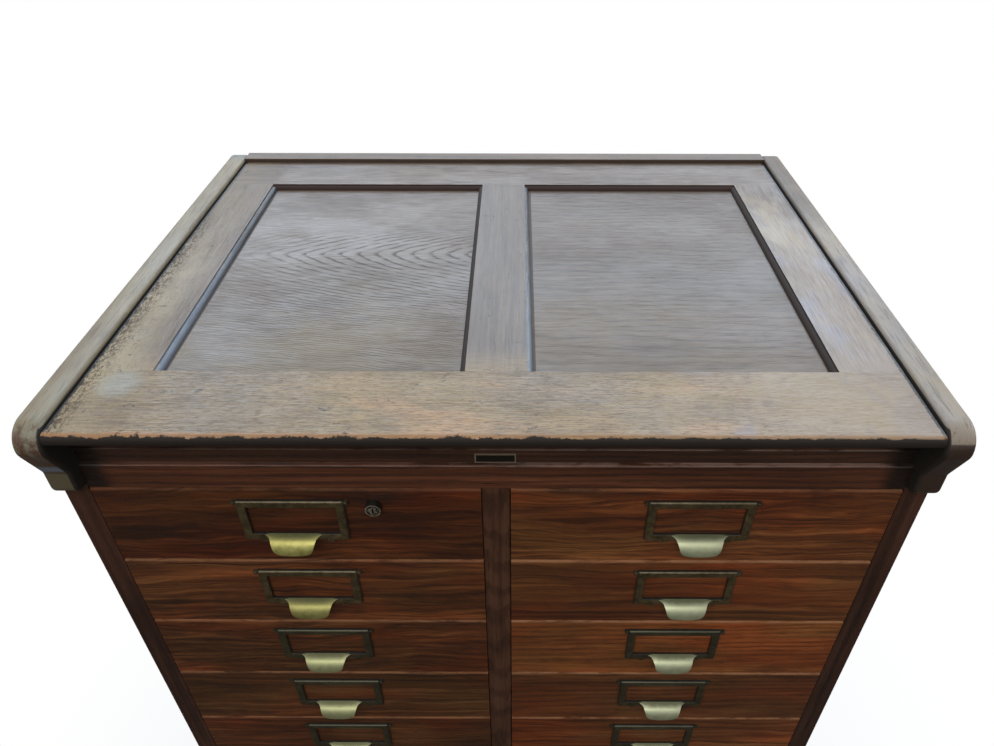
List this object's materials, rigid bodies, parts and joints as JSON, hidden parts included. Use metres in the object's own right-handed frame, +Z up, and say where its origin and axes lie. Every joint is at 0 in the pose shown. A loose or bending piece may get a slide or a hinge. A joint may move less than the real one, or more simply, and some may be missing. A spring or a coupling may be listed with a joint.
{
  "type": "archive cabinet",
  "caption": "Floor-standing oak archive cabinet: columns of shallow drawers with card-frame pulls under a framed top between shaped cheeks, with a cam lock.",
  "frame": {"origin": "middle of the footprint, on the floor", "axes": "+Z up, drawers open towards -Y, +X to the right seen from the front"},
  "size_m": [0.776, 0.6, 1.19],
  "materials": {
    "carcass_oak": "dark stained oak, worn satin",
    "drawer_oak": "red-brown stained oak with dark grain, worn satin",
    "top_oak": "weathered grey-brown oak, dull",
    "inner_wood": "plain unstained softwood and oak",
    "aged_brass": "tarnished brass, brighter on the tongues",
    "lock_metal": "worn plated brass"
  },
  "bodies": {
    "root": {"left_cheek": "carcass_oak", "right_cheek": "carcass_oak", "left_side_frame": "carcass_oak", "right_side_frame": "carcass_oak", "side_panels": "carcass_oak", "back_frame": "carcass_oak", "back_panels": "carcass_oak", "back_upstand": "top_oak", "top_frame": "top_oak", "top_panels": "top_oak", "frieze": "carcass_oak", "nameplate": "aged_brass", "front_rails": "carcass_oak", "centre_stile": "carcass_oak", "centre_partition": "inner_wood", "bottom_board": "inner_wood", "plinth": "carcass_oak", "drawer_runners": "inner_wood"},
    "drawer_l01": {"drawer_l01": "drawer_oak", "pull_l01": "aged_brass", "lock_case": "lock_metal"},
    "drawer_l02": {"drawer_l02": "drawer_oak", "pull_l02": "aged_brass"},
    "drawer_l03": {"drawer_l03": "drawer_oak", "pull_l03": "aged_brass"},
    "drawer_l04": {"drawer_l04": "drawer_oak", "pull_l04": "aged_brass"},
    "drawer_l05": {"drawer_l05": "drawer_oak", "pull_l05": "aged_brass"},
    "drawer_l06": {"drawer_l06": "drawer_oak", "pull_l06": "aged_brass"},
    "drawer_l07": {"drawer_l07": "drawer_oak", "pull_l07": "aged_brass"},
    "drawer_l08": {"drawer_l08": "drawer_oak", "pull_l08": "aged_brass"},
    "drawer_l09": {"drawer_l09": "drawer_oak", "pull_l09": "aged_brass"},
    "drawer_l10": {"drawer_l10": "drawer_oak", "pull_l10": "aged_brass"},
    "drawer_r01": {"drawer_r01": "drawer_oak", "pull_r01": "aged_brass"},
    "drawer_r02": {"drawer_r02": "drawer_oak", "pull_r02": "aged_brass"},
    "drawer_r03": {"drawer_r03": "drawer_oak", "pull_r03": "aged_brass"},
    "drawer_r04": {"drawer_r04": "drawer_oak", "pull_r04": "aged_brass"},
    "drawer_r05": {"drawer_r05": "drawer_oak", "pull_r05": "aged_brass"},
    "drawer_r06": {"drawer_r06": "drawer_oak", "pull_r06": "aged_brass"},
    "drawer_r07": {"drawer_r07": "drawer_oak", "pull_r07": "aged_brass"},
    "drawer_r08": {"drawer_r08": "drawer_oak", "pull_r08": "aged_brass"},
    "drawer_r09": {"drawer_r09": "drawer_oak", "pull_r09": "aged_brass"},
    "drawer_r10": {"drawer_r10": "drawer_oak", "pull_r10": "aged_brass"},
    "lock_plug": {"lock_plug": "lock_metal"}
  },
  "joints": [
    {"name": "drawer_l01_slide", "type": "slide", "parent": "root", "child": "drawer_l01", "axis": [0, -1, 0], "range_m": [0, 0.42]},
    {"name": "drawer_l02_slide", "type": "slide", "parent": "root", "child": "drawer_l02", "axis": [0, -1, 0], "range_m": [0, 0.42]},
    {"name": "drawer_l03_slide", "type": "slide", "parent": "root", "child": "drawer_l03", "axis": [0, -1, 0], "range_m": [0, 0.42]},
    {"name": "drawer_l04_slide", "type": "slide", "parent": "root", "child": "drawer_l04", "axis": [0, -1, 0], "range_m": [0, 0.42]},
    {"name": "drawer_l05_slide", "type": "slide", "parent": "root", "child": "drawer_l05", "axis": [0, -1, 0], "range_m": [0, 0.42]},
    {"name": "drawer_l06_slide", "type": "slide", "parent": "root", "child": "drawer_l06", "axis": [0, -1, 0], "range_m": [0, 0.42]},
    {"name": "drawer_l07_slide", "type": "slide", "parent": "root", "child": "drawer_l07", "axis": [0, -1, 0], "range_m": [0, 0.42]},
    {"name": "drawer_l08_slide", "type": "slide", "parent": "root", "child": "drawer_l08", "axis": [0, -1, 0], "range_m": [0, 0.42]},
    {"name": "drawer_l09_slide", "type": "slide", "parent": "root", "child": "drawer_l09", "axis": [0, -1, 0], "range_m": [0, 0.42]},
    {"name": "drawer_l10_slide", "type": "slide", "parent": "root", "child": "drawer_l10", "axis": [0, -1, 0], "range_m": [0, 0.42]},
    {"name": "drawer_r01_slide", "type": "slide", "parent": "root", "child": "drawer_r01", "axis": [0, -1, 0], "range_m": [0, 0.42]},
    {"name": "drawer_r02_slide", "type": "slide", "parent": "root", "child": "drawer_r02", "axis": [0, -1, 0], "range_m": [0, 0.42]},
    {"name": "drawer_r03_slide", "type": "slide", "parent": "root", "child": "drawer_r03", "axis": [0, -1, 0], "range_m": [0, 0.42]},
    {"name": "drawer_r04_slide", "type": "slide", "parent": "root", "child": "drawer_r04", "axis": [0, -1, 0], "range_m": [0, 0.42]},
    {"name": "drawer_r05_slide", "type": "slide", "parent": "root", "child": "drawer_r05", "axis": [0, -1, 0], "range_m": [0, 0.42]},
    {"name": "drawer_r06_slide", "type": "slide", "parent": "root", "child": "drawer_r06", "axis": [0, -1, 0], "range_m": [0, 0.42]},
    {"name": "drawer_r07_slide", "type": "slide", "parent": "root", "child": "drawer_r07", "axis": [0, -1, 0], "range_m": [0, 0.42]},
    {"name": "drawer_r08_slide", "type": "slide", "parent": "root", "child": "drawer_r08", "axis": [0, -1, 0], "range_m": [0, 0.42]},
    {"name": "drawer_r09_slide", "type": "slide", "parent": "root", "child": "drawer_r09", "axis": [0, -1, 0], "range_m": [0, 0.42]},
    {"name": "drawer_r10_slide", "type": "slide", "parent": "root", "child": "drawer_r10", "axis": [0, -1, 0], "range_m": [0, 0.42]},
    {"name": "lock_turn", "type": "hinge", "parent": "drawer_l01", "child": "lock_plug", "pos_m": [-0.11135, -0.272, 1.078], "axis": [0, -1, 0], "range_deg": [0, 90]}
  ]
}
